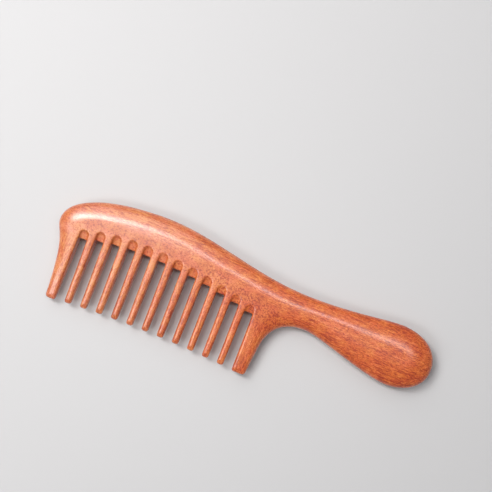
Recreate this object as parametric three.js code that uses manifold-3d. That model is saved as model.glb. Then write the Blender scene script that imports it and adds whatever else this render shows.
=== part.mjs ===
// Wide tooth comb with a handle, built from glued wooden pieces. Units are millimetres, +Z is up.
//
// The comb lies flat. +X runs along its length towards the handle, the teeth point to -Y and the
// thickness runs along Z. The origin is at the middle of the footprint, on the table plane.
//
// A single board makes the spine and the handle, with its grain along X. The teeth are staves with
// their grain along Y. Each stave has a shoulder that butts against the spine and a tongue that is
// glued into a groove in the spine's edge, so no tooth has weak cross grain.

import * as THREE from "three";
import { mergeVertices } from "three/addons/utils/BufferGeometryUtils.js";
import Module from "manifold-3d";

const wasm = await Module();
wasm.setup();

// ---------------------------------------------------------------- driving dimensions

const THICKNESS = 11.6; // of the board the comb is shaped from
const MID = THICKNESS / 2;
const FAR = 60; // beyond every face of the comb
const MARGIN = 1; // cutters and blanks stand this far past the faces that they go through

const THIN_TEETH = 11;
const PITCH = 8.42;
const FIRST_SLOT_X = -87.1;
const ROOT_WIDTH = 4.0; // of a thin tooth at the end of its slots
const TIP_WIDTH = 3.5;
const FRONT_GUARD_TIP_X = [-94.9, -89.5];
const HEEL_GUARD_TIP_X = [8.0, 15.2];
const GUARD_TIP_Y = -30.2;
const TIP_RADIUS = 1.5;
const ROOT_FILLET = 0.8;
const ARC_STEPS = 4; // straight steps in each small arc at the tips and roots

const EDGE_ROUND_WIDTH = 7.6; // the rounded edge, measured in from the outline
const EDGE_ROUND_DEPTH = 5.0; // and measured down from the face
const CREST_Y = 12; // the faces taper from here down to the tooth tips
const TIP_THICKNESS = 4.0;
const TAPER_FOOT_Y = -50; // the tapered body runs on to here, past the tips
const HANDLE_RAMP_X = [17.8, 34]; // the faces rise again to full thickness along the neck
const HANDLE_RAMP_LOW_Y = -6; // the ramp starts at the thickness that the taper has here

const WAIST_X = [6, 80]; // the neck is hollowed between these
const WAIST_DEPTH = 0.7;

const TONGUE_LENGTH = 6;
const TONGUE_THICKNESS = 3.2;
const TONGUE_SINK = 2; // how far the tongue's blank reaches down into its stave
const GROOVE_SINK = 3; // how far the groove's cutter reaches below the shoulder
const GLUE_GAP = 0.1; // on each side of a seam
const GROOVE_CLEARANCE = 0.2;
const GROOVE_X = [-94, 18];
const HEEL_SHOULDER_END_X = 22;

// The slot ends, the scoops above them and the shoulders follow one bow, steeper towards the head.
const BOW_X = -56;
const BOW_DROP = { head: 0.0041, handle: 0.002 };
const SLOT_END_TOP_Y = 8.0;
const SHOULDER_TOP_Y = 16.2;
const SCOOP_RUN = 5.4; // from the through slot up to the scoop's round end, under the top of the bow
const SCOOP_RUN_LOSS = 0.015; // for each millimetre away from the top of the bow
const SCOOP_STEP = 0.9; // depth of the floor under the round end, at the first slot
const SCOOP_STEP_LOSS = 0.0095; // for each millimetre from the first slot towards the handle
const SCOOP_SLOPE = 0.42; // depth that the floor gains for each millimetre towards the tips
const SCOOP_RUN_ON = 3; // the cutter runs on into the open slot

// The tooth tips follow a shallow arc of their own.
const TIP_BOW_X = -42;
const TIP_BOW_Y = -28;
const TIP_BOW_DROP = 0.0008;

// ---------------------------------------------------------------- curves that places come from

function bow(x, top) {
  const drop = x < BOW_X ? BOW_DROP.head : BOW_DROP.handle;
  return top - drop * (x - BOW_X) ** 2;
}

const slotEndY = (x) => bow(x, SLOT_END_TOP_Y);
const shoulderY = (x) => bow(x, SHOULDER_TOP_Y);
const tipY = (x) => TIP_BOW_Y - TIP_BOW_DROP * (x - TIP_BOW_X) ** 2;
const slotX = (slot) => FIRST_SLOT_X + PITCH * slot;
const scoopRun = (x) => SCOOP_RUN - SCOOP_RUN_LOSS * Math.abs(x - BOW_X);
const scoopStep = (x) => SCOOP_STEP - SCOOP_STEP_LOSS * (x - FIRST_SLOT_X);

// Half of the thickness at a distance y across the comb, on the tapered faces.
function halfThickness(y) {
  const lowest = TIP_THICKNESS / 2;
  return lowest + ((MID - lowest) * (y - GUARD_TIP_Y)) / (CREST_Y - GUARD_TIP_Y);
}

// The shoulder line is straight between knots half a pitch apart, so that the pieces on both sides
// of it meet on the same facets.
function shoulderPoints(fromX, toX, offset) {
  const knotAfter = (x) => Math.floor((2 * (x - FIRST_SLOT_X)) / PITCH + 1e-6) + 1;
  const first = knotAfter(fromX);
  const last = knotAfter(toX - 1e-3) - 1;
  const knots = [];
  for (let k = first; k <= last; k++) knots.push(slotX(k / 2));
  return [fromX, ...knots, toX].map((x) => {
    const before = slotX((knotAfter(x) - 1) / 2);
    const after = slotX(knotAfter(x) / 2);
    const share = (x - before) / (after - before);
    const y = THREE.MathUtils.lerp(shoulderY(before), shoulderY(after), share);
    return new THREE.Vector2(x, y + offset);
  });
}

// ---------------------------------------------------------------- solids

function solidOf(geometry) {
  const bare = geometry.clone();
  bare.deleteAttribute("normal");
  bare.deleteAttribute("uv");
  const merged = mergeVertices(bare, 1e-5);
  const vertProperties = new Float32Array(merged.attributes.position.array);
  const triVerts = new Uint32Array(merged.index.array);
  return new wasm.Manifold(new wasm.Mesh({ numProp: 3, vertProperties, triVerts }));
}

function geometryOf(solid) {
  const mesh = solid.getMesh();
  const geometry = new THREE.BufferGeometry();
  geometry.setAttribute("position", new THREE.BufferAttribute(mesh.vertProperties, 3));
  geometry.setIndex(new THREE.BufferAttribute(mesh.triVerts, 1));
  geometry.computeVertexNormals();
  return geometry;
}

// A plan shape raised from z = low to z = high.
function raised(shape, low, high) {
  const geometry = new THREE.ExtrudeGeometry(shape, { depth: high - low, bevelEnabled: false });
  geometry.translate(0, 0, low);
  return solidOf(geometry);
}

// A shape drawn in (x, z) and carried across the whole comb along Y.
function carriedAlongY(shape) {
  const geometry = new THREE.ExtrudeGeometry(shape, { depth: 2 * FAR, bevelEnabled: false });
  geometry.rotateX(Math.PI / 2);
  geometry.translate(0, FAR, 0);
  return solidOf(geometry);
}

// A shape drawn in (y, z) and carried along X from one end to the other.
function carriedAlongX(shape, fromX, toX) {
  const geometry = new THREE.ExtrudeGeometry(shape, { depth: toX - fromX, bevelEnabled: false });
  const turn = new THREE.Matrix4().set(0, 0, 1, fromX, 1, 0, 0, 0, 0, 1, 0, 0, 0, 0, 0, 1);
  geometry.applyMatrix4(turn);
  return solidOf(geometry);
}

const shapeThrough = (pairs) => new THREE.Shape(pairs.map(([x, y]) => new THREE.Vector2(x, y)));

// ---------------------------------------------------------------- the outside of the whole comb

// The plan outline, with both guard teeth run on past their tips so that they can be cut later.
function outlineShape() {
  const shape = new THREE.Shape();
  shape.moveTo(-94.0, -FAR);
  shape.lineTo(-95.0, -28.6);
  shape.bezierCurveTo(-96.7, 5.0, -101.6, 2.5, -102.5, 9.7);
  shape.bezierCurveTo(-102.5, 16.0, -97.7, 20.9, -86.4, 25.0);
  shape.bezierCurveTo(-75.3, 29.1, -57.0, 30.2, -50.0, 30.2);
  shape.bezierCurveTo(-23.0, 30.2, 2.0, 19.6, 31.0, 19.6);
  shape.bezierCurveTo(56.0, 19.6, 71.5, 23.5, 81.5, 23.5);
  shape.bezierCurveTo(92.2, 23.5, 102.5, 18.0, 102.5, 7.2);
  shape.bezierCurveTo(102.5, -3.8, 91.2, -7.8, 84.0, -7.8);
  shape.bezierCurveTo(71.0, -7.8, 43.7, 2.7, 36.0, 2.7);
  shape.bezierCurveTo(25.3, 2.7, 17.8, -2.2, 16.6, -14.5);
  shape.lineTo(15.2, -28.6);
  shape.lineTo(13.0, -FAR);
  return shape;
}

function roundedBoard() {
  const geometry = new THREE.ExtrudeGeometry(outlineShape(), {
    depth: THICKNESS - 2 * EDGE_ROUND_DEPTH,
    curveSegments: 9,
    bevelSize: EDGE_ROUND_WIDTH,
    bevelOffset: -EDGE_ROUND_WIDTH,
    bevelThickness: EDGE_ROUND_DEPTH,
    bevelSegments: 4,
  });
  geometry.translate(0, 0, EDGE_ROUND_DEPTH);
  return solidOf(geometry);
}

// The tapered faces over the teeth, and the ramp that brings the handle back to full thickness.
function taperedFaces() {
  const low = halfThickness(TAPER_FOOT_Y);
  const high = halfThickness(FAR);
  const wedge = shapeThrough([
    [TAPER_FOOT_Y, MID - low],
    [FAR, MID - high],
    [FAR, MID + high],
    [TAPER_FOOT_Y, MID + low],
  ]);
  const [rampStart, rampEnd] = HANDLE_RAMP_X;
  const startHalf = halfThickness(HANDLE_RAMP_LOW_Y);
  const endHalf = MID + MARGIN / 2;
  const ramp = shapeThrough([
    [rampStart, MID - startHalf],
    [rampEnd, MID - endHalf],
    [2 * FAR, MID - endHalf],
    [2 * FAR, MID + endHalf],
    [rampEnd, MID + endHalf],
    [rampStart, MID + startHalf],
  ]);
  return carriedAlongX(wedge, -2 * FAR, 2 * FAR).add(carriedAlongY(ramp));
}

// The shallow hollow on one face that makes the neck thinner. side is 1 for the top, -1 below.
function waist(side) {
  const halfSpan = (WAIST_X[1] - WAIST_X[0]) / 2;
  const radius = (halfSpan ** 2 + WAIST_DEPTH ** 2) / (2 * WAIST_DEPTH);
  const halfAngle = Math.asin(halfSpan / radius);
  const shape = new THREE.Shape();
  const steps = 12;
  for (let i = 0; i <= steps; i++) {
    const angle = halfAngle * ((2 * i) / steps - 1);
    const depth = radius * Math.cos(angle) - (radius - WAIST_DEPTH);
    const x = WAIST_X[0] + halfSpan + radius * Math.sin(angle);
    const z = MID + side * (MID - depth);
    if (i === 0) shape.moveTo(x, z);
    else shape.lineTo(x, z);
  }
  shape.lineTo(WAIST_X[1], MID + side * (MID + MARGIN));
  shape.lineTo(WAIST_X[0], MID + side * (MID + MARGIN));
  return carriedAlongY(shape);
}

const envelope = roundedBoard()
  .intersect(taperedFaces())
  .subtract(waist(1))
  .subtract(waist(-1));

// ---------------------------------------------------------------- scoops at the slot ends

// A shallow pocket cut into one face above the end of a slot. It is as wide as the slot and round at
// its upper end, and its floor slopes down towards the slot. side is 1 for the top face, -1 below.
function scoop(slot, side) {
  const x = slotX(slot);
  const radius = (PITCH - ROOT_WIDTH) / 2;
  const topY = slotEndY(x) + scoopRun(x);
  const footY = slotEndY(x) - SCOOP_RUN_ON;
  const plan = new THREE.Shape();
  plan.moveTo(x - radius, footY);
  plan.lineTo(x + radius, footY);
  plan.absarc(x, topY - radius, radius, 0, Math.PI, false);

  const topHeight = Math.min(MID, halfThickness(topY)) - scoopStep(x);
  const heightAt = (y) => MID + side * (topHeight - SCOOP_SLOPE * (topY - y));
  const aboveFloor = shapeThrough([
    [footY - MARGIN, heightAt(footY - MARGIN)],
    [topY + MARGIN, heightAt(topY + MARGIN)],
    [topY + MARGIN, MID + side * FAR],
    [footY - MARGIN, MID + side * FAR],
  ]);
  return raised(plan, -FAR, FAR).intersect(carriedAlongX(aboveFloor, x - PITCH, x + PITCH));
}

const scoopsOf = (slots) => slots.flatMap((slot) => [scoop(slot, 1), scoop(slot, -1)]);

// ---------------------------------------------------------------- teeth

// One side of a stave's outline. side is -1 towards the head and 1 towards the handle. A side with
// a slot steps in from the seam to the blade; the outer side of a guard runs on past the outline.
function sidePoints(side, seamX, rootX, tipX, tip) {
  const curve = new THREE.Path();
  curve.moveTo(seamX, slotEndY(seamX));
  curve.lineTo(rootX + side * ROOT_FILLET, slotEndY(seamX));
  curve.quadraticCurveTo(rootX, slotEndY(seamX), rootX, slotEndY(seamX) - ROOT_FILLET);
  curve.lineTo(tipX, tip + TIP_RADIUS);
  curve.quadraticCurveTo(tipX, tip, tipX - side * TIP_RADIUS, tip);
  return curve.getPoints(ARC_STEPS);
}

function outerSidePoints(side, tipX, tip) {
  const curve = new THREE.Path();
  curve.moveTo(tipX + side * 4 * TIP_RADIUS, tip + 4 * TIP_RADIUS);
  curve.lineTo(tipX + side * 0.2 * TIP_RADIUS, tip + 2 * TIP_RADIUS);
  curve.quadraticCurveTo(tipX, tip, tipX - side * TIP_RADIUS, tip);
  return curve.getPoints(ARC_STEPS);
}

// A stave: the shoulder line above, then down one side, round the tip and up the other side.
function stave(left, right, fromX, toX) {
  const top = shoulderPoints(fromX, toX, -GLUE_GAP);
  const shape = new THREE.Shape([...top, ...right, ...left.reverse()]);
  return envelope.intersect(raised(shape, -MARGIN, THICKNESS + MARGIN));
}

function tongue(fromX, toX, length, halfThick, sink) {
  const top = shoulderPoints(fromX, toX, length);
  const bottom = shoulderPoints(fromX, toX, -sink);
  const shape = new THREE.Shape([...top, ...bottom.reverse()]);
  return raised(shape, MID - halfThick, MID + halfThick);
}

function joined(blade, tongueFromX, tongueToX, slots) {
  const key = tongue(tongueFromX, tongueToX, TONGUE_LENGTH, TONGUE_THICKNESS / 2, TONGUE_SINK);
  return scoopsOf(slots).reduce((solid, cutter) => solid.subtract(cutter), blade.add(key));
}

function thinTooth(index) {
  const x = slotX(index) + PITCH / 2;
  const leftSeam = slotX(index) + GLUE_GAP;
  const rightSeam = slotX(index + 1) - GLUE_GAP;
  const tip = tipY(x);
  const left = sidePoints(-1, leftSeam, x - ROOT_WIDTH / 2, x - TIP_WIDTH / 2, tip);
  const right = sidePoints(1, rightSeam, x + ROOT_WIDTH / 2, x + TIP_WIDTH / 2, tip);
  const blade = stave(left, right, leftSeam, rightSeam);
  return joined(blade, leftSeam, rightSeam, [index, index + 1]);
}

function frontGuard() {
  const seam = slotX(0) - GLUE_GAP;
  const rootX = slotX(0) - (PITCH - ROOT_WIDTH) / 2;
  const left = outerSidePoints(-1, FRONT_GUARD_TIP_X[0], GUARD_TIP_Y);
  const right = sidePoints(1, seam, rootX, FRONT_GUARD_TIP_X[1], GUARD_TIP_Y);
  left.unshift(new THREE.Vector2(-2 * FAR, left[0].y));
  const blade = stave(left, right, -2 * FAR, seam);
  return joined(blade, GROOVE_X[0], seam, [0]);
}

function heelGuard() {
  const seam = slotX(THIN_TEETH) + GLUE_GAP;
  const rootX = slotX(THIN_TEETH) + (PITCH - ROOT_WIDTH) / 2;
  const left = sidePoints(-1, seam, rootX, HEEL_GUARD_TIP_X[0], GUARD_TIP_Y);
  const right = outerSidePoints(1, HEEL_GUARD_TIP_X[1], GUARD_TIP_Y);
  right.unshift(new THREE.Vector2(HEEL_SHOULDER_END_X, right[0].y));
  const blade = stave(left, right, seam, HEEL_SHOULDER_END_X);
  return joined(blade, seam, GROOVE_X[1], [THIN_TEETH]);
}

// ---------------------------------------------------------------- spine and handle

function spineAndHandle() {
  const edge = shoulderPoints(-2 * FAR, HEEL_SHOULDER_END_X + GLUE_GAP, GLUE_GAP);
  const teethZone = new THREE.Shape([
    new THREE.Vector2(-2 * FAR, -2 * FAR),
    new THREE.Vector2(HEEL_SHOULDER_END_X + GLUE_GAP, -2 * FAR),
    ...edge.reverse(),
  ]);
  const groove = tongue(
    GROOVE_X[0] - GROOVE_CLEARANCE,
    GROOVE_X[1] + GROOVE_CLEARANCE,
    TONGUE_LENGTH + GROOVE_CLEARANCE,
    TONGUE_THICKNESS / 2 + GROOVE_CLEARANCE,
    GROOVE_SINK,
  );
  return envelope.subtract(raised(teethZone, -MARGIN, THICKNESS + MARGIN)).subtract(groove);
}

// ---------------------------------------------------------------- the comb

const WOOD = new THREE.Color(0.58, 0.15, 0.045);

// Staves come from different strips of the same wood, so each differs a little in tone.
function wood(tone) {
  const color = WOOD.clone().multiplyScalar(1 + 0.12 * Math.sin(2.4 * tone));
  return new THREE.MeshStandardMaterial({ color, roughness: 0.38, metalness: 0 });
}

const comb = new THREE.Group();

function addPiece(name, solid, tone) {
  const mesh = new THREE.Mesh(geometryOf(solid), wood(tone));
  mesh.name = name;
  comb.add(mesh);
}

addPiece("spine_and_handle", spineAndHandle(), 0);
addPiece("front_guard_tooth", frontGuard(), 1);
for (let index = 0; index < THIN_TEETH; index++) {
  const number = String(index + 2).padStart(2, "0");
  addPiece(`tooth_${number}`, thinTooth(index), index + 2);
}
addPiece("heel_guard_tooth", heelGuard(), THIN_TEETH + 2);

export default comb;
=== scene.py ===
"""Wide tooth comb: the looks. Everything is in the CAD frame; lengths inside the shape functions are
millimetres and become metres when a mesh is made.

The comb lies flat with +X along its length towards the handle, its teeth towards -Y, and its two faces
alike on both sides of mid thickness. One implicit function describes the whole polished comb. It is
meshed once, and the mesh is cut along the glue lines into the spine with its handle and the 13 teeth.
"""
import math

import bpy
import numpy as np
from mathutils import Matrix, Vector


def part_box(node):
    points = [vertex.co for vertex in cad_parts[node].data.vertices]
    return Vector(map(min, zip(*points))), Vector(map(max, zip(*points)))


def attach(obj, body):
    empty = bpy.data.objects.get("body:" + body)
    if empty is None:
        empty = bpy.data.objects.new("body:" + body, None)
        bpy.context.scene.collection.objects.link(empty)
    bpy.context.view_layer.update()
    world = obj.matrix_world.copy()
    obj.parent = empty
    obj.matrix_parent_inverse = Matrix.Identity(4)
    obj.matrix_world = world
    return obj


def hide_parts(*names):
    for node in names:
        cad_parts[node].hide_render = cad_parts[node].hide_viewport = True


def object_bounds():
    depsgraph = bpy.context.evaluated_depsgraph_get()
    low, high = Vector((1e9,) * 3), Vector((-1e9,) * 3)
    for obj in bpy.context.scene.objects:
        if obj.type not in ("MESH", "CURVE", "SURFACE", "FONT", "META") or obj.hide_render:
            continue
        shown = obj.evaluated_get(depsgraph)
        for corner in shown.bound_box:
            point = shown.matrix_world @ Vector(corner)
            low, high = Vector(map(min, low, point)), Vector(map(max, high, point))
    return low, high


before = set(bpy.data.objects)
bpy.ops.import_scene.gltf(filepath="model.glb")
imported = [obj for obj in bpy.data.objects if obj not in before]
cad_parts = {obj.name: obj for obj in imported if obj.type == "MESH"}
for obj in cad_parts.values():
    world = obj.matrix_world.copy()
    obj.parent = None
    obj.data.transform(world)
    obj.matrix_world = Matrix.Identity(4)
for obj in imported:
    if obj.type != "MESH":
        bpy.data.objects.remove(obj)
CAD_LOW, CAD_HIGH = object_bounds()

# ------------------------------------------------------------------ driving dimensions, millimetres

MM = 0.001
LENGTH = CAD_HIGH.x - CAD_LOW.x  # metres; the lights and the camera are placed by it
DRAWN_LENGTH = 205.0  # the length that the outline below is drawn for
SCALE = LENGTH / MM / DRAWN_LENGTH
MID_Z = (CAD_HIGH.z + CAD_LOW.z) / 2 / MM
HALF = (CAD_HIGH.z - CAD_LOW.z) / 2 / MM
MESH_STEP = 0.4
PLAN_STEP = 0.25  # of the grid that holds the distance to the outline

SPINE = "spine_and_handle"
THIN_TEETH = [f"tooth_{number:02d}" for number in range(2, 13)]
TEETH = ["front_guard_tooth", *THIN_TEETH, "heel_guard_tooth"]

# Each curve is a cubic Bezier that starts where the one before it ends.
OUTLINE_START = (-95.0, -28.6)
OUTLINE_CURVES = [
    [(-96.7, 5.0), (-101.6, 2.5), (-102.5, 9.7)],  # outer side of the front guard tooth
    [(-102.5, 16.0), (-97.7, 20.9), (-86.4, 25.0)],  # head
    [(-75.3, 29.1), (-57.0, 30.2), (-50.0, 30.2)],  # back, up to its highest point
    [(-23.0, 30.2), (2.0, 19.6), (31.0, 19.6)],  # back, down to the neck
    [(56.0, 19.6), (71.5, 23.5), (81.5, 23.5)],  # handle, upper side
    [(92.2, 23.5), (102.5, 18.0), (102.5, 7.2)],  # bulb
    [(102.5, -3.8), (91.2, -7.8), (84.0, -7.8)],
    [(71.0, -7.8), (43.7, 2.7), (36.0, 2.7)],  # handle, lower side
    [(25.3, 2.7), (17.8, -2.2), (16.6, -14.5)],  # arch under the neck
]
HEEL_FOOT = (15.2, -28.6)
GUARD_RUN_ON = 20.0  # the outline runs on past the guard tips, which are cut separately
FRONT_GUARD_LEAN = -0.3  # how far its side leans over that run
HEEL_GUARD_LEAN = 0.9
CURVE_STEPS = 32

ROOT_TOOTH_WIDTH = 4.0
TIP_TOOTH_WIDTH = 3.5
BOW_X = -56.0  # the slot ends and shoulders follow a bow with its top here
BOW_DROP_HEAD = 0.0041
BOW_DROP_HANDLE = 0.002
SLOT_END_TOP_Y = 8.0
SHOULDER_TOP_Y = 16.2
HEEL_SHOULDER_END_X = 22.0
SCOOP_RUN = 5.4
SCOOP_RUN_LOSS = 0.015  # for each millimetre away from the top of the bow
SCOOP_STEP = 0.9  # depth of the floor under a scoop's round end, at the first slot
SCOOP_STEP_LOSS = 0.0095  # for each millimetre from the first slot towards the handle
SCOOP_SLOPE = 0.42  # depth that the floor gains for each millimetre towards the tips
SCOOP_CORNER = 1.2  # where a scoop's floor meets its wall
SLOT_CORNER = 0.6
SLOT_RISE = 0.3  # the slots end this much higher, which their blend with the scoops takes back
SLOT_BLEND = 0.3

TAPER_START_Y = 18.0  # the faces close in from here down to the tips
TAPER_POWER = 1.35
TIP_HALF = 2.0
HANDLE_RAMP_X = (16.0, 36.0)  # the faces rise again to full thickness along the neck
WAIST_X = (6.0, 80.0)
WAIST_DEPTH = 0.7

# How far in from the outline the big rounded edge reaches, and over what stretch it changes.
SPINE_EDGE = 9.8
TIP_EDGE = 3.0
TIP_EDGE_FADE = (-8.0, 22.0)  # in -y
NECK_EDGE = 7.8
NECK_EDGE_FADE = (14.0, 40.0)  # in x
BULB_EDGE = 13.2
BULB_EDGE_FADE = (44.0, 84.0)  # in x
EDGE_DROP = 5.2  # how far down from the face it reaches
EDGE_DROP_SHARE = 0.86  # and at most this share of the half thickness

CROWN_REACH = 2.2  # the faces fall away towards a slot from this far
CROWN_RADIUS = 8.0
CROWN_FADE = (1.5, 6.5)  # below the scoop's round end, so that the arches stay crisp
GUARD_CORNER = 1.8
TIP_CORNER = 1.3
BLADE_EDGE = 1.25  # radius along a tooth's long edges
ROOT_EDGE = 0.7  # radius of the same edges near the slots' ends
BLADE_EDGE_FADE = (-14.0, 2.0)  # in y

TONGUE_LENGTH = 6.0
TONGUE_HALF = 1.6
TONGUE_SINK = 2.0  # how far the tongue's blank reaches down into its tooth
GROOVE_SINK = 3.0  # how far the groove's cutter reaches below the shoulder
GROOVE_CLEARANCE = 0.2
GROOVE_X = (-94.0, 18.0)
GLUE_GAP = 0.012  # on each side of a seam
CUTTER_MARGIN = 5.0  # cutters stand this far past the comb in plan
CUTTER_MARGIN_Z = 3.0
SHOULDER_STEP = 1.5  # between points of the shoulder line
WELD_DISTANCE = 2e-7  # metres
SHARP_ANGLE = 50.0  # degrees


def box_mm(node):
    """The low and high corner of a CAD node's box, in millimetres."""
    low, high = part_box(node)
    return np.array(low) / MM, np.array(high) / MM


BOXES = {node: box_mm(node) for node in [SPINE, *TEETH]}
SEAM_X = np.array([(BOXES[a][1][0] + BOXES[b][0][0]) / 2 for a, b in zip(TEETH, TEETH[1:])])
TIP_Y = np.array([BOXES[node][0][1] for node in TEETH])
PITCH = (SEAM_X[-1] - SEAM_X[0]) / (len(SEAM_X) - 1)

# ------------------------------------------------------------------ the outline and its distance


def bow(x, top):
    """The y of a bow that reaches top at BOW_X and drops away on both sides."""
    drop = np.where(x < BOW_X, BOW_DROP_HEAD, BOW_DROP_HANDLE)
    return top - drop * (x - BOW_X) ** 2


def outline_points():
    """The closed plan outline, with both guard teeth run on past their tips."""
    start = np.array(OUTLINE_START)
    points = [start - (FRONT_GUARD_LEAN, GUARD_RUN_ON), start]
    t = np.linspace(0, 1, CURVE_STEPS + 1)[1:, None]
    for a, b, c in OUTLINE_CURVES:
        p = points[-1]
        curve = (1 - t) ** 3 * p + 3 * t * (1 - t) ** 2 * np.array(a)
        curve = curve + 3 * t**2 * (1 - t) * np.array(b) + t**3 * np.array(c)
        points.extend(curve)
    foot = np.array(HEEL_FOOT)
    points.extend([foot, foot - (HEEL_GUARD_LEAN, GUARD_RUN_ON)])
    return np.array(points) * SCALE


def inside_depth(points, polygon):
    """Distance from each point to the polygon's edge, positive inside."""
    starts = polygon
    ends = np.roll(polygon, -1, axis=0)
    edges = ends - starts
    lengths = (edges**2).sum(1)
    depth = np.empty(len(points))
    at_a_time = 20000
    for first in range(0, len(points), at_a_time):
        p = points[first : first + at_a_time, None, :]
        offset = p - starts
        along = np.clip((offset * edges).sum(2) / lengths, 0, 1)
        gap = offset - along[..., None] * edges
        nearest = np.sqrt((gap**2).sum(2).min(1))
        above = starts[:, 1] > p[..., 1]
        crosses = above != (ends[:, 1] > p[..., 1])
        rise = np.where(edges[:, 1] == 0, 1, edges[:, 1])
        at_x = starts[:, 0] + (p[..., 1] - starts[:, 1]) * edges[:, 0] / rise
        odd = (crosses & (p[..., 0] < at_x)).sum(1) % 2 == 1
        depth[first : first + at_a_time] = np.where(odd, nearest, -nearest)
    return depth


class PlanField:
    """The outline's depth on a fine grid, looked up between its points."""

    def __init__(self, polygon, low, high, step):
        self.low, self.step = np.array(low), step
        self.shape = tuple(int(math.ceil((b - a) / step)) + 2 for a, b in zip(low, high))
        xs = low[0] + step * np.arange(self.shape[0])
        ys = low[1] + step * np.arange(self.shape[1])
        grid = np.stack(np.meshgrid(xs, ys, indexing="ij"), -1).reshape(-1, 2)
        self.values = inside_depth(grid, polygon).reshape(self.shape)

    def __call__(self, x, y):
        before_last = 1.001
        u = np.clip((x - self.low[0]) / self.step, 0, self.shape[0] - before_last)
        v = np.clip((y - self.low[1]) / self.step, 0, self.shape[1] - before_last)
        i, j = u.astype(int), v.astype(int)
        s, t = u - i, v - j
        left = self.values[i, j] * (1 - t) + self.values[i, j + 1] * t
        right = self.values[i + 1, j] * (1 - t) + self.values[i + 1, j + 1] * t
        return left * (1 - s) + right * s


# ------------------------------------------------------------------ the comb as one function


def ramp(value, start, end):
    """0 before start, 1 after end, smooth between."""
    t = np.clip((value - start) / (end - start), 0, 1)
    return t * t * (3 - 2 * t)


def rounded_max(a, b, radius):
    """The larger of two distances, with the edge between their surfaces rounded."""
    corner = np.hypot(np.maximum(a + radius, 0), np.maximum(b + radius, 0))
    return np.minimum(np.maximum(a, b), -radius) + corner


def smooth_min(a, b, blend):
    """The smaller of two distances, blended where they are nearly equal."""
    h = np.clip(0.5 + 0.5 * (b - a) / blend, 0, 1)
    return b * (1 - h) + a * h - blend * h * (1 - h)


def fade(start_value, end_value, share):
    """From one value to the other as share goes from 0 to 1."""
    return start_value + (end_value - start_value) * share


def half_thickness(x, y):
    """Half of the comb's thickness on its faces, before any edge is rounded."""
    past_the_tips = 1.2
    share = (TAPER_START_Y - y) / (TAPER_START_Y - TIP_Y.min())
    taper = np.clip(share, 0, past_the_tips) ** TAPER_POWER
    wedge = fade(HALF, TIP_HALF, taper)
    face = fade(wedge, HALF, ramp(x, *HANDLE_RAMP_X))
    middle = (WAIST_X[0] + WAIST_X[1]) / 2
    span = (WAIST_X[1] - WAIST_X[0]) / 2
    hollow = np.cos(np.clip((x - middle) / span, -1, 1) * math.pi / 2) ** 2
    return face - WAIST_DEPTH * hollow


def edge_round_width(x, y):
    """How far in from the outline the big rounded edge reaches."""
    spine = fade(SPINE_EDGE, TIP_EDGE, ramp(-y, *TIP_EDGE_FADE))
    handle = fade(NECK_EDGE, BULB_EDGE, ramp(x, *BULB_EDGE_FADE))
    return fade(spine, handle, ramp(x, *NECK_EDGE_FADE))


def scoop_plan(x, y, slot):
    """Distance from a slot's plan outline with the round end of its scoops, and that end's y."""
    centre = SEAM_X[slot]
    top_y = bow(centre, SLOT_END_TOP_Y) + SCOOP_RUN - SCOOP_RUN_LOSS * np.abs(centre - BOW_X)
    radius = (PITCH - ROOT_TOOTH_WIDTH) / 2
    return np.hypot(x - centre, np.maximum(y - top_y + radius, 0)) - radius, top_y


def crown(x, y, slot):
    """How far the polished face of a tooth has dropped towards its slots."""
    distance, top_y = scoop_plan(x, y, slot)
    drop = np.clip(CROWN_REACH - distance, 0, CROWN_REACH) ** 2 / (2 * CROWN_RADIUS)
    return drop * ramp(top_y - y, *CROWN_FADE)


def slot_cut(x, y, z, slot):
    """Signed distance to a slot with its two scoops, negative inside the cut."""
    centre = SEAM_X[slot]
    end_y = bow(centre, SLOT_END_TOP_Y)
    run_on = 0.2
    share = np.clip((end_y - y) / (end_y - TIP_Y.min()), -run_on, 1 + run_on)
    tooth_width = fade(ROOT_TOOTH_WIDTH, TIP_TOOTH_WIDTH, share)
    wall = np.abs(x - centre) - (PITCH - tooth_width) / 2
    slot_2d = rounded_max(wall, y - end_y - SLOT_RISE, SLOT_CORNER)
    plan, top_y = scoop_plan(x, y, slot)
    step = SCOOP_STEP - SCOOP_STEP_LOSS * (centre - SEAM_X[0])
    floor_z = half_thickness(centre, top_y) - step - SCOOP_SLOPE * (top_y - y)
    floor = (floor_z - np.abs(z)) / math.hypot(1, SCOOP_SLOPE)
    scoop = rounded_max(plan, floor, SCOOP_CORNER)
    return smooth_min(slot_2d, scoop, SLOT_BLEND)


def comb_field(x, y, z, depth):
    """Negative inside the wood. z is measured from mid thickness, and depth from the outline."""
    slot = np.clip(np.round((x - SEAM_X[0]) / PITCH).astype(int), 0, len(SEAM_X) - 1)
    face = np.abs(z) - half_thickness(x, y) + crown(x, y, slot)
    tooth = np.clip(np.floor((x - SEAM_X[0]) / PITCH).astype(int) + 1, 0, len(TEETH) - 1)
    tip = TIP_Y[tooth] - y
    cut = -slot_cut(x, y, z, slot)

    # The board: its face and its side meet in an elliptic edge, width wide and drop high.
    width = edge_round_width(x, y)
    drop = np.minimum(EDGE_DROP, EDGE_DROP_SHARE * half_thickness(x, y))
    side = rounded_max(-depth, tip, GUARD_CORNER)
    outward = np.maximum(side + width, 0) / width
    upward = np.maximum(face + drop, 0) / drop
    board = (np.hypot(outward, upward) - 1) * np.sqrt(width * drop)

    # The blades that the slots leave, with their own rounded tips and long edges.
    walls = rounded_max(cut, tip, TIP_CORNER)
    blades = rounded_max(walls, face, fade(BLADE_EDGE, ROOT_EDGE, ramp(y, *BLADE_EDGE_FADE)))
    return np.maximum(board, blades)


# ------------------------------------------------------------------ meshing


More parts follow.
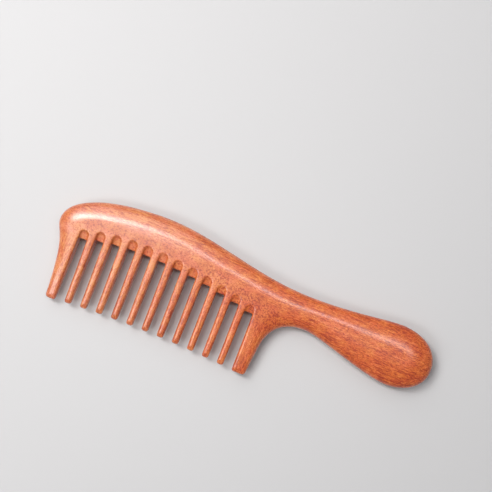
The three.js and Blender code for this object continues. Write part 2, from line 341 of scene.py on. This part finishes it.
def surface_net(values, low, step):
    """Vertices and outward quads of the zero surface of a grid of values."""
    inside = values < 0
    shape = np.array(values.shape) - 1
    corner_offsets = [(i, j, k) for i in (0, 1) for j in (0, 1) for k in (0, 1)]
    total = np.zeros((*shape, 3))
    count = np.zeros(shape)
    for axis in range(3):
        others = [n for n in range(3) if n != axis]
        for a in (0, 1):
            for b in (0, 1):
                offset = [0, 0, 0]
                offset[others[0]], offset[others[1]] = a, b
                start = tuple(slice(o, o + n) for o, n in zip(offset, shape))
                offset[axis] = 1
                stop = tuple(slice(o, o + n) for o, n in zip(offset, shape))
                offset[axis] = 0
                v0, v1 = values[start], values[stop]
                crossed = inside[start] != inside[stop]
                t = np.where(crossed, v0 / np.where(crossed, v0 - v1, 1), 0)
                for n in range(3):
                    total[..., n] += np.where(crossed, offset[n] + (t if n == axis else 0), 0)
                count += crossed
    used = count > 0
    index = np.full(shape, -1)
    index[used] = np.arange(used.sum())
    cells = np.argwhere(used)
    vertices = np.array(low) + step * (cells + total[used] / count[used][:, None])

    quads = []
    for axis in range(3):
        u, v = (axis + 1) % 3, (axis + 2) % 3
        start = [slice(1, n) for n in shape]
        stop = [slice(1, n) for n in shape]
        start[axis], stop[axis] = slice(0, shape[axis]), slice(1, shape[axis] + 1)
        crossed = inside[tuple(start)] != inside[tuple(stop)]
        cell = np.argwhere(crossed)
        for n in (u, v):
            cell[:, n] += 1
        leaving = inside[tuple(start)][crossed]
        ring = []
        for du, dv in ((0, 0), (1, 0), (1, 1), (0, 1)):
            c = cell.copy()
            c[:, u] -= du
            c[:, v] -= dv
            ring.append(index[c[:, 0], c[:, 1], c[:, 2]])
        ring = np.stack(ring, 1)
        ring[~leaving] = ring[~leaving][:, ::-1]
        quads.append(ring)
    return vertices, np.concatenate(quads)


def polished_comb():
    """Vertices (millimetres, z from mid thickness) and quads of the whole comb."""
    margin = np.array([1.0, 1.0, 1.03])  # the last keeps the grid's planes off the faces
    low = np.array([CAD_LOW.x / MM, CAD_LOW.y / MM, -HALF]) - margin
    high = np.array([CAD_HIGH.x / MM, CAD_HIGH.y / MM, HALF]) + margin
    plan = PlanField(outline_points(), low[:2] - margin[:2], high[:2] + margin[:2], PLAN_STEP)
    counts = np.ceil((high - low) / MESH_STEP).astype(int) + 1
    axes = [low[n] + MESH_STEP * np.arange(counts[n]) for n in range(3)]
    x, y = np.meshgrid(axes[0], axes[1], indexing="ij")
    depth = plan(x, y)
    layers = [comb_field(x, y, np.full_like(x, z), depth) for z in axes[2]]
    vertices, quads = surface_net(np.stack(layers, 2), low, MESH_STEP)

    def field(p):
        return comb_field(p[:, 0], p[:, 1], p[:, 2], plan(p[:, 0], p[:, 1]))

    nudge = 0.05  # millimetres, for the field's slope
    least_slope = 0.05
    longest_move = 0.3 * MESH_STEP
    for _ in range(3):
        here = field(vertices)
        slope = np.empty_like(vertices)
        for n in range(3):
            step = np.zeros(3)
            step[n] = nudge
            slope[:, n] = (field(vertices + step) - field(vertices - step)) / (2 * nudge)
        size = (slope**2).sum(1)
        move = -slope * (here / np.maximum(size, least_slope))[:, None]
        reach = np.linalg.norm(move, axis=1)
        limit = np.minimum(1, longest_move / np.maximum(reach, 1e-9))
        vertices = vertices + move * limit[:, None]
    return vertices, quads


def mesh_object(name, vertices, faces):
    """An object from vertices in millimetres, z from mid thickness."""
    places = (np.array(vertices) + (0, 0, MID_Z)) * MM
    mesh = bpy.data.meshes.new(name)
    mesh.from_pydata(places.tolist(), [], [list(map(int, f)) for f in faces])
    mesh.update()
    obj = bpy.data.objects.new(name, mesh)
    bpy.context.scene.collection.objects.link(obj)
    return obj


def prism(name, outline, low, high):
    """A closed prism from a plan outline (counter-clockwise), between two heights."""
    count = len(outline)
    bottom = [(x, y, low) for x, y in outline]
    top = [(x, y, high) for x, y in outline]
    faces = [list(range(count))[::-1], list(range(count, 2 * count))]
    for n in range(count):
        after = (n + 1) % count
        faces.append([n, after, count + after, count + n])
    return mesh_object(name, bottom + top, faces)


def combine(obj, other, operation):
    """Applies one boolean and removes the other object."""
    cut = obj.modifiers.new("cut", "BOOLEAN")
    cut.operation = operation
    cut.solver = "MANIFOLD"
    cut.object = other
    graph = bpy.context.evaluated_depsgraph_get()
    mesh = bpy.data.meshes.new_from_object(obj.evaluated_get(graph))
    obj.modifiers.clear()
    old = obj.data
    obj.data = mesh
    bpy.data.meshes.remove(old)
    old = other.data
    bpy.data.objects.remove(other)
    bpy.data.meshes.remove(old)
    return obj


# ------------------------------------------------------------------ cutting into pieces


def shoulder_line(from_x, to_x, offset):
    """Points along the seam between the teeth and the spine, moved up by the offset."""
    steps = max(3, int((to_x - from_x) / SHOULDER_STEP))
    xs = np.linspace(from_x, to_x, steps + 1)
    return [(x, float(bow(x, SHOULDER_TOP_Y)) + offset) for x in xs]


def piece_from(whole, name):
    """A copy of the whole comb, to be cut down to one piece."""
    obj = bpy.data.objects.new(name, whole.data.copy())
    bpy.context.scene.collection.objects.link(obj)
    return obj


def strip(from_x, to_x, below, above):
    """The band between two offsets of the shoulder line, counter-clockwise."""
    return shoulder_line(from_x, to_x, below) + shoulder_line(from_x, to_x, above)[::-1]


def below_shoulder(left, right, offset):
    """A prism that holds all that lies under the shoulder line between two places."""
    foot = CAD_LOW.y / MM - CUTTER_MARGIN
    edge = shoulder_line(left, right, offset)
    height = HALF + CUTTER_MARGIN_Z
    return prism("zone", [(left, foot), (right, foot), *edge[::-1]], -height, height)


def make_tooth(whole, index):
    """One tooth: all that lies below the shoulder between its two seams, with its tongue."""
    first, last = index == 0, index == len(TEETH) - 1
    left = CAD_LOW.x / MM - CUTTER_MARGIN if first else SEAM_X[index - 1] + GLUE_GAP
    right = HEEL_SHOULDER_END_X if last else SEAM_X[index] - GLUE_GAP
    zone = below_shoulder(left, right, -GLUE_GAP)
    tooth = combine(piece_from(whole, TEETH[index]), zone, "INTERSECT")
    key_from, key_to = max(left, GROOVE_X[0]), min(right, GROOVE_X[1])
    key = strip(key_from, key_to, -TONGUE_SINK, TONGUE_LENGTH)
    return combine(tooth, prism("key", key, -TONGUE_HALF, TONGUE_HALF), "UNION")


def make_spine(whole):
    """The spine and handle: all the rest, with the groove that the tongues sit in."""
    left, right = CAD_LOW.x / MM - CUTTER_MARGIN, HEEL_SHOULDER_END_X + GLUE_GAP
    zone = below_shoulder(left, right, GLUE_GAP)
    spine = combine(piece_from(whole, SPINE), zone, "DIFFERENCE")
    margin = GROOVE_CLEARANCE
    ends = (GROOVE_X[0] - margin, GROOVE_X[1] + margin)
    groove = strip(*ends, -GROOVE_SINK, TONGUE_LENGTH + margin)
    half = TONGUE_HALF + margin
    return combine(spine, prism("groove", groove, -half, half), "DIFFERENCE")


def clean_mesh(old, name):
    """The same surface as triangles, without the doubled vertices and flat slivers of a boolean."""
    places = np.empty(3 * len(old.vertices))
    old.vertices.foreach_get("co", places)
    grid = np.round(places.reshape(-1, 3) / WELD_DISTANCE).astype(np.int64)
    _, first, weld = np.unique(grid, axis=0, return_index=True, return_inverse=True)
    old.calc_loop_triangles()
    corners = np.empty(3 * len(old.loop_triangles), dtype=int)
    old.loop_triangles.foreach_get("vertices", corners)
    triangles = weld.reshape(-1)[corners].reshape(-1, 3)
    ordered = np.sort(triangles, axis=1)
    _, same, count = np.unique(ordered, axis=0, return_inverse=True, return_counts=True)
    real = (ordered[:, 0] < ordered[:, 1]) & (ordered[:, 1] < ordered[:, 2])
    single = count[same.reshape(-1)] == 1
    mesh = bpy.data.meshes.new(name)
    mesh.from_pydata(places.reshape(-1, 3)[first].tolist(), [], triangles[real & single].tolist())
    mesh.update()
    return mesh


def finish_mesh(obj):
    """Clean triangles, smooth except at sharp edges."""
    old = obj.data
    obj.data = clean_mesh(old, obj.name)
    bpy.data.meshes.remove(old)
    for polygon in obj.data.polygons:
        polygon.use_smooth = True
    obj.data.set_sharp_from_angle(angle=math.radians(SHARP_ANGLE))


# ------------------------------------------------------------------ wood


class Graph:
    """A material's node tree, with short calls for the nodes that the wood uses."""

    def __init__(self, material):
        material.use_nodes = True
        self.nodes = material.node_tree.nodes
        self.links = material.node_tree.links
        self.shader = self.nodes["Principled BSDF"]

    def put(self, socket, value):
        """Links a node's output to the socket, or sets a plain value."""
        if isinstance(value, bpy.types.NodeSocket):
            self.links.new(value, socket)
        else:
            socket.default_value = value

    def add(self, kind, inputs, output=0, **settings):
        """A new node with these settings and inputs; returns one of its outputs."""
        node = self.nodes.new(kind)
        for name, value in settings.items():
            setattr(node, name, value)
        for name, value in inputs.items():
            self.put(node.inputs[name], value)
        return node.outputs[output]

    def math(self, operation, a, b=0.0, clamp=False):
        inputs = {0: a, 1: b}
        return self.add("ShaderNodeMath", inputs, operation=operation, use_clamp=clamp)

    def noise(self, place, stretch, detail=2.0, roughness=0.5):
        """Noise in 0 to 1 whose features are 1 / stretch millimetres along, across and deep."""
        stretched = self.add(
            "ShaderNodeVectorMath", {0: place, 1: stretch}, operation="MULTIPLY"
        )
        inputs = {"Vector": stretched, "Scale": 1.0, "Detail": detail, "Roughness": roughness}
        return self.add("ShaderNodeTexNoise", inputs)

    def steps(self, value, low, high, to_low=0.0, to_high=1.0):
        """value mapped from low..high to to_low..to_high, held at both ends."""
        inputs = {
            "Value": value,
            "From Min": low,
            "From Max": high,
            "To Min": to_low,
            "To Max": to_high,
        }
        return self.add("ShaderNodeMapRange", inputs, interpolation_type="SMOOTHSTEP")

    def mix(self, factor, a, b, blend="MIX"):
        """From a to b; both are colours or node outputs."""
        node = self.nodes.new("ShaderNodeMix")
        node.data_type = "RGBA"
        node.blend_type = blend
        for socket, value in ((node.inputs[0], factor), (node.inputs[6], a), (node.inputs[7], b)):
            self.put(socket, value)
        return node.outputs[2]


# Dark, middle and pale wood. The board is paler and yellower at the head, a painted sheen where the
# light falls, and redder at the handle, where the light falls off.
HEAD_WOOD_AND_PAINTED_SHEEN = [(0.34, 0.046, 0.013, 1), (0.555, 0.132, 0.034, 1), (0.67, 0.240, 0.092, 1)]
HANDLE_WOOD = [(0.33, 0.034, 0.006, 1), (0.60, 0.108, 0.015, 1), (0.73, 0.200, 0.047, 1)]
HEAD_TO_HANDLE_X = (-90.0, 50.0)
PORE = (0.30, 0.025, 0.004, 1)
PINK_TINT = (1.0, 0.92, 1.12, 1)
YELLOW_TINT = (1.0, 1.06, 0.94, 1)

# The layers of the figure. A stretch is one over a feature's size in millimetres: along the grain,
# across it and through the board.
BANDS = {"stretch": (0.012, 0.13, 0.16), "detail": 2}
STREAKS = {"stretch": (0.14, 1.4, 1.4), "detail": 4, "roughness": 0.70}
FLECKS = {"stretch": (0.60, 2.1, 2.1), "detail": 3, "roughness": 0.70}
BLOTCHES = {"stretch": (0.16, 0.24, 0.24), "detail": 3}
SPECKLE = {"stretch": (1.0, 1.0, 1.0), "detail": 3, "roughness": 0.65}
CURL = {"stretch": (0.16, 0.10, 0.10), "detail": 2}
PORES = {"stretch": (2.2, 2.2, 2.2), "detail": 1}

STREAK_SHARE = 0.68
FLECK_SHARE = 0.64
BAND_SHARE = 0.20
CURL_SHARE = 0.20
USUAL_SUM = 0.85  # of the layers; the wood has its middle colour there
DARK_TO_MIDDLE = (-0.13, 0.0)  # measured from the usual sum
MIDDLE_TO_PALE = (-0.01, 0.13)
# Painted shade: the wood is made a little darker towards the handle, where the light falls off.
HANDLE_PAINTED_SHADE = 0.02
PINK_TO_YELLOW = (0.36, 0.62)  # in the noise of the blotches

HEEL_X = (-60.0, 5.0)  # dots and pores grow stronger from here to here
HEEL_STRENGTH = (0.65, 1.0)
DOT_CEILING = 0.03  # keeps only the dark side of the speckle
DOT_DEPTH = 1.3
DOT_MIDDLE = 0.68
MOTTLED_ABOVE = (0.5, 4.0)  # the mottled zone fades over these distances from the shoulder
MOTTLED_BELOW = (-14.0, -5.0)

OPEN_PORES = (0.58, 0.70)  # in the noise of the pores
PORE_COVER = 0.8
PORE_DEPTH = -0.8  # on the scale of the figure's layers
PORE_ROUGHNESS = 0.15  # added to the wood's own

WOOD_ROUGHNESS = (0.50, 0.40)  # between dark and pale flecks
FLECK_RANGE = (0.3, 0.7)
COAT_IOR = 1.6
COAT_ROUGHNESS = 0.25
HEAD_SHEEN = 0.60
HANDLE_SHEEN = 0.40
RELIEF_STRENGTH = 0.5
GRAIN_RELIEF = 0.00008  # metres


def wavy(graph, place, waviness):
    """The place shifted across the grain by slow waves and by small ripples."""
    slow, quick = 0.045, 0.24
    for scale, reach in ((slow, waviness), (quick, 0.5 * waviness)):
        wave = graph.add(
            "ShaderNodeTexNoise", {"Vector": place, "Scale": scale, "Detail": 1.0}, output=1
        )
        centred = graph.add(
            "ShaderNodeVectorMath", {0: wave, 1: (0.5, 0.5, 0.5)}, operation="SUBTRACT"
        )
        shift = graph.add(
            "ShaderNodeVectorMath", {0: centred, 1: (0, reach, reach)}, operation="MULTIPLY"
        )
        place = graph.add("ShaderNodeVectorMath", {0: place, 1: shift})
    return place


def near_shoulder(graph, x, y):
    """1 at the seam between the teeth and the spine, 0 a few millimetres away from it."""
    from_top = graph.math("SUBTRACT", x, BOW_X)
    drop = graph.math("MULTIPLY", graph.math("POWER", from_top, 2.0), BOW_DROP_HANDLE)
    above = graph.math("SUBTRACT", graph.math("ADD", y, drop), SHOULDER_TOP_Y)
    upper = graph.steps(above, *MOTTLED_ABOVE, 1.0, 0.0)
    lower = graph.steps(above, *MOTTLED_BELOW)
    return graph.math("MULTIPLY", upper, lower)


def dark_dots(graph, common, towards_heel):
    """The mottle near the shoulder, on the same scale as the streaks and flecks."""
    speckle = graph.noise(common, **SPECKLE)
    dark_side = graph.math("MINIMUM", graph.math("SUBTRACT", speckle, 0.5), DOT_CEILING)
    depth = graph.math("MULTIPLY", graph.math("MULTIPLY", dark_side, DOT_DEPTH), towards_heel)
    return graph.math("ADD", depth, DOT_MIDDLE)


def wood_colour(graph, value, blotches, towards_handle):
    """Dark, middle or pale by value, a little pinker or yellower in blotches, paler at the head with
    painted sheen.
    """
    dark, middle, pale = [
        graph.mix(towards_handle, at_head, at_handle)
        for at_head, at_handle in zip(HEAD_WOOD_AND_PAINTED_SHEEN, HANDLE_WOOD)
    ]
    low_half = graph.mix(graph.steps(value, *DARK_TO_MIDDLE), dark, middle)
    colour = graph.mix(graph.steps(value, *MIDDLE_TO_PALE), low_half, pale)
    tint = graph.mix(graph.steps(blotches, *PINK_TO_YELLOW), PINK_TINT, YELLOW_TINT)
    return graph.mix(1.0, colour, tint, "MULTIPLY")


def polish(graph, flecks, pore, towards_handle):
    """A satin surface under a clear oil coat, duller in the pores."""
    shader = graph.shader.inputs
    roughness = graph.steps(flecks, *FLECK_RANGE, *WOOD_ROUGHNESS)
    roughness = graph.math("ADD", roughness, graph.math("MULTIPLY", pore, PORE_ROUGHNESS))
    graph.put(shader["Roughness"], roughness)
    loss = graph.math("MULTIPLY", towards_handle, HEAD_SHEEN - HANDLE_SHEEN)
    graph.put(shader["Specular IOR Level"], graph.math("SUBTRACT", HEAD_SHEEN, loss))
    graph.put(shader["Coat Weight"], 1.0)
    graph.put(shader["Coat Roughness"], COAT_ROUGHNESS)
    graph.put(shader["Coat IOR"], COAT_IOR)


def wood(name, turn, offset, tone, waviness):
    """Oiled and polished red-orange wood: bands, streaks, short flecks, dots and open pores."""
    material = bpy.data.materials.new(name)
    graph = Graph(material)
    point = graph.add("ShaderNodeTexCoord", {}, output=3)
    in_mm = {0: point, "Scale": 1 / MM}
    common = graph.add("ShaderNodeVectorMath", in_mm, operation="SCALE")
    grain = {"Vector": common, "Location": offset, "Rotation": (0, 0, turn)}
    place = wavy(graph, graph.add("ShaderNodeMapping", grain), waviness)
    split = graph.nodes.new("ShaderNodeSeparateXYZ")
    graph.put(split.inputs[0], common)
    x, y = split.outputs[0], split.outputs[1]
    # Head to handle: the painted sheen and painted shade in the wood's colour, and the drop in
    # specular.
    towards_handle = graph.steps(x, *HEAD_TO_HANDLE_X)
    towards_heel = graph.steps(x, *HEEL_X, *HEEL_STRENGTH)

    streaks = graph.math("MULTIPLY", graph.noise(place, **STREAKS), STREAK_SHARE)
    flecks = graph.noise(place, **FLECKS)
    fine = graph.math("ADD", streaks, graph.math("MULTIPLY", flecks, FLECK_SHARE))
    dots = dark_dots(graph, common, towards_heel)
    fine = graph.mix(near_shoulder(graph, x, y), fine, dots)
    bands = graph.math("MULTIPLY", graph.noise(common, **BANDS), BAND_SHARE)
    curl = graph.math("MULTIPLY", graph.noise(common, **CURL), CURL_SHARE)
    value = graph.math("ADD", graph.math("ADD", fine, bands), curl)
    value = graph.math("ADD", value, tone - USUAL_SUM)
    # Painted shade, darker towards the handle.
    painted_shade = graph.math("MULTIPLY", towards_handle, HANDLE_PAINTED_SHADE)
    value = graph.math("SUBTRACT", value, painted_shade)

    blotches = graph.noise(common, **BLOTCHES)
    colour = wood_colour(graph, value, blotches, towards_handle)
    open_pores = graph.steps(graph.noise(common, **PORES), *OPEN_PORES)
    pore = graph.math("MULTIPLY", open_pores, towards_heel)
    colour = graph.mix(graph.math("MULTIPLY", pore, PORE_COVER), colour, PORE)
    graph.put(graph.shader.inputs["Base Color"], colour)
    polish(graph, flecks, pore, towards_handle)

    height = graph.math("ADD", fine, graph.math("MULTIPLY", pore, PORE_DEPTH))
    relief = {"Height": height, "Strength": RELIEF_STRENGTH, "Distance": GRAIN_RELIEF}
    graph.put(graph.shader.inputs["Normal"], graph.add("ShaderNodeBump", relief))
    return material


# ------------------------------------------------------------------ floor, lights, camera

PICTURE_TURN = math.radians(21.59)  # the comb lies turned by this in the picture
PICTURE_UP = Vector((-math.sin(PICTURE_TURN), math.cos(PICTURE_TURN), 0))
CAMERA_PLACE = Vector((0.0244, 0.0976, 2.2829)) * LENGTH
CAMERA_TARGET = Vector((-0.04, 0.1546, 0.039)) * LENGTH
CAMERA_LENS = 65.9
SENSOR_WIDTH = 36

# Each light's name, its place and its width and height in comb lengths, and its power in watts.
LIGHTS = [
    ("key", (-2.05, 0.976, 3.024), (1.463, 1.463), 1.45),
    ("left_strip", (-1.317, 0.585, 3.024), (1.463, 0.732), 2.2),
    ("right_strip", (0.341, 0.61, 3.024), (1.854, 0.341), 0.75),
    ("tooth_light", (-1.561, -1.317, 2.829), (1.951, 1.171), 1.55),
    ("fill", (-1.463, 2.439, 2.439), (3.415, 1.463), 1.2),
]
LIGHT_TARGET = Vector((0, 0.01, 0))
LIGHT_COLOUR = (1.0, 0.98, 0.96)
SKY_COLOUR = (0.95, 0.97, 1.0, 1)
SKY_AT_HORIZON = 0.25
SKY_OVERHEAD = 0.18
SKY_AS_SEEN = 0.7

FLOOR_SIZE = 8  # metres
FLOOR_DROP = 0.0003
FLOOR_COLOUR = (0.56, 0.56, 0.57, 1)
FLOOR_ROUGHNESS = 0.85
FLOOR_SHEEN = 0.2
FLOOR_GLOW_COLOUR = (0.98, 0.99, 1.0, 1)
FLOOR_GLOW = 0.5
FLOOR_GLOW_FADE = (0.1, 1.0)  # metres from the comb


def make_floor():
    """A pale floor. Away from the comb it glows a little, so it stays pale up to the horizon."""
    bpy.ops.mesh.primitive_plane_add(size=FLOOR_SIZE)
    floor = bpy.context.object
    floor.name = "floor"
    floor.location.z = CAD_LOW.z - FLOOR_DROP
    material = bpy.data.materials.new("floor")
    graph = Graph(material)
    shader = graph.shader.inputs
    place = graph.add("ShaderNodeTexCoord", {}, output=3)
    distance = graph.add("ShaderNodeVectorMath", {0: place}, output=1, operation="LENGTH")
    graph.put(shader["Base Color"], FLOOR_COLOUR)
    graph.put(shader["Roughness"], FLOOR_ROUGHNESS)
    graph.put(shader["Specular IOR Level"], FLOOR_SHEEN)
    graph.put(shader["Emission Color"], FLOOR_GLOW_COLOUR)
    glow = graph.steps(distance, *FLOOR_GLOW_FADE, 0.0, FLOOR_GLOW)
    graph.put(shader["Emission Strength"], glow)
    floor.data.materials.append(material)


def aim(obj, target, up):
    """Turns a light or camera to face the target."""
    forward = (target - obj.location).normalized()
    right = forward.cross(up).normalized()
    true_up = right.cross(forward)
    obj.rotation_mode = "QUATERNION"
    turn = Matrix((right, true_up, -forward)).transposed()
    obj.rotation_quaternion = turn.to_quaternion()


def area_light(name, place, size, power):
    data = bpy.data.lights.new(name, "AREA")
    data.shape = "RECTANGLE"
    data.size, data.size_y = size[0] * LENGTH, size[1] * LENGTH
    data.energy = power
    data.color = LIGHT_COLOUR
    light = bpy.data.objects.new(name, data)
    bpy.context.scene.collection.objects.link(light)
    light.location = Vector(place) * LENGTH
    aim(light, LIGHT_TARGET, Vector((0, 1, 0)))


def make_world():
    """Soft light from above that grows towards the horizon. The camera sees it as plain pale grey."""
    world = bpy.data.worlds.new("world")
    world.use_nodes = True
    nodes, links = world.node_tree.nodes, world.node_tree.links
    background = nodes["Background"]
    direction = nodes.new("ShaderNodeTexCoord")
    split = nodes.new("ShaderNodeSeparateXYZ")
    links.new(direction.outputs["Generated"], split.inputs[0])
    change = nodes.new("ShaderNodeMapRange")
    change.inputs["To Min"].default_value = SKY_AT_HORIZON
    change.inputs["To Max"].default_value = SKY_OVERHEAD
    links.new(split.outputs["Z"], change.inputs["Value"])
    path = nodes.new("ShaderNodeLightPath")
    strength = nodes.new("ShaderNodeMix")
    strength.inputs[3].default_value = SKY_AS_SEEN
    links.new(path.outputs["Is Camera Ray"], strength.inputs[0])
    links.new(change.outputs[0], strength.inputs[2])
    links.new(strength.outputs[0], background.inputs["Strength"])
    background.inputs["Color"].default_value = SKY_COLOUR
    bpy.context.scene.world = world


def make_lights():
    """A soft key from the upper left, strips that draw the highlight along the comb, and the sky."""
    for light in LIGHTS:
        area_light(*light)
    make_world()
    bpy.context.scene.view_settings.view_transform = "Standard"


def make_camera():
    data = bpy.data.cameras.new("camera")
    data.sensor_width = SENSOR_WIDTH
    data.lens = CAMERA_LENS
    camera = bpy.data.objects.new("camera", data)
    bpy.context.scene.collection.objects.link(camera)
    camera.location = CAMERA_PLACE
    aim(camera, CAMERA_TARGET, PICTURE_UP)
    bpy.context.scene.camera = camera


# ------------------------------------------------------------------ main

SEED = 7
OFFSET_REACH = 400  # each piece's wood comes from its own place in the pattern, up to this far away
# Each tooth's own tone at random, set a little paler on the whole as painted light on the teeth.
TOOTH_TONES_AND_PAINTED_LIGHT = (-0.01, 0.04)
SPINE_WAVES = 2.0
TOOTH_WAVES = 1.2

vertices, quads = polished_comb()
whole = mesh_object("whole", vertices, quads)
pieces = {SPINE: make_spine(whole)}
for index, name in enumerate(TEETH):
    pieces[name] = make_tooth(whole, index)
bpy.data.objects.remove(whole)

dice = np.random.default_rng(SEED)
for name, piece in pieces.items():
    finish_mesh(piece)
    piece.name = f"{name}_visual"
    offset = tuple(dice.uniform(-OFFSET_REACH, OFFSET_REACH, 3))
    tone = float(dice.uniform(*TOOTH_TONES_AND_PAINTED_LIGHT))
    if name == SPINE:
        material = wood(name, 0.0, offset, 0.0, SPINE_WAVES)
    else:
        material = wood(name, math.pi / 2, offset, tone, TOOTH_WAVES)
    piece.data.materials.clear()
    piece.data.materials.append(material)
    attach(piece, "root")
    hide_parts(name)

make_floor()
make_lights()
make_camera()
